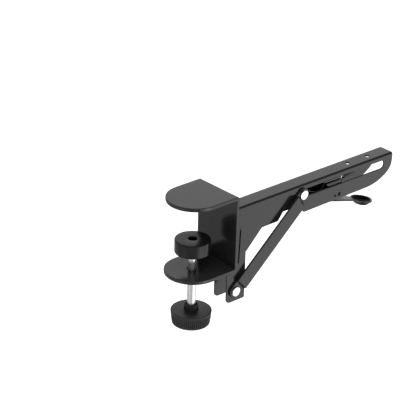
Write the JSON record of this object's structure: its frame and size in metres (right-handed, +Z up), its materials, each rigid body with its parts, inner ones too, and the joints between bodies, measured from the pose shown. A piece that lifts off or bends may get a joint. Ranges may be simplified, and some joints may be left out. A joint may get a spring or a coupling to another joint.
{
  "type": "folding desk extender bracket",
  "caption": "Clamp-on folding shelf bracket: a channel arm, strut and release lever on an upright leg, with a screw clamp that grips a desk edge.",
  "frame": {"origin": "desk edge line: the inner face of the clamp's vertical plate where it meets the underside of the top jaw, on the bracket's centre plane", "axes": "+X outward along the arm away from the desk, +Y across the bracket towards the side without the strut, +Z up"},
  "size_m": [0.2756, 0.052, 0.1276],
  "materials": {
    "powder_coat": "semi-gloss black powder coat",
    "bright_rivet": "bright nickel",
    "bright_screw": "bright zinc",
    "zinc": "zinc plated",
    "black_plastic": "matte moulded",
    "black_steel": "black oxide",
    "spring_steel": "bright drawn wire",
    "brass": "machined"
  },
  "bodies": {
    "clamp": {"clamp_frame": "powder_coat", "jaw_nut": "zinc", "leg_channel": "powder_coat", "hinge_pin": "bright_rivet", "lower_rivet": "bright_rivet", "lower_washer": "zinc"},
    "arm": {"arm_channel": "powder_coat", "hinge_bush": "zinc", "lever_pin": "black_steel", "spring_pin": "black_steel", "lever_spring": "spring_steel"},
    "strut": {"strut": "powder_coat", "upper_rivet": "bright_rivet"},
    "slider": {"slide_pin": "zinc", "slide_washer": "zinc", "slide_clip": "black_steel"},
    "lever": {"release_lever": "powder_coat"},
    "pad": {"pressure_pad": "black_plastic"},
    "screw": {"clamp_screw": "bright_screw", "pad_retainer": "black_steel", "knob": "black_plastic", "knob_insert": "brass"}
  },
  "joints": [
    {"name": "arm_fold", "type": "hinge", "parent": "clamp", "child": "arm", "pos_m": [0.0115, 0, -0.06], "axis": [0, 1, 0], "range_deg": [0, 90]},
    {"name": "strut_swing", "type": "hinge", "parent": "clamp", "child": "strut", "pos_m": [0.0149, 0, -0.102], "axis": [0, 1, 0], "range_deg": [0, 116.6]},
    {"name": "pin_slide", "type": "slide", "parent": "arm", "child": "slider", "axis": [1, 0, 0], "range_m": [0, 0.0625]},
    {"name": "lever_release", "type": "hinge", "parent": "arm", "child": "lever", "pos_m": [0.1492, 0, -0.0432], "axis": [0, 1, 0], "range_deg": [-10, 0], "stiffness_Nm_per_rad": 0.05, "springref_deg": 5.73},
    {"name": "clamp_travel", "type": "slide", "parent": "clamp", "child": "pad", "axis": [0, 0, 1], "range_m": [-0.01626, 0.02751]},
    {"name": "knob_turn", "type": "hinge", "parent": "pad", "child": "screw", "pos_m": [-0.0288, 0, -0.1], "axis": [0, 0, 1], "range_deg": [-4680, 7920]}
  ],
  "couplings": [
    {"joint": "strut_swing", "follows": "arm_fold", "ratio": 1.2942},
    {"joint": "pin_slide", "follows": "arm_fold", "m_per_rad": 0.039702},
    {"joint": "clamp_travel", "follows": "knob_turn", "m_per_rad": 0.00019894}
  ]
}
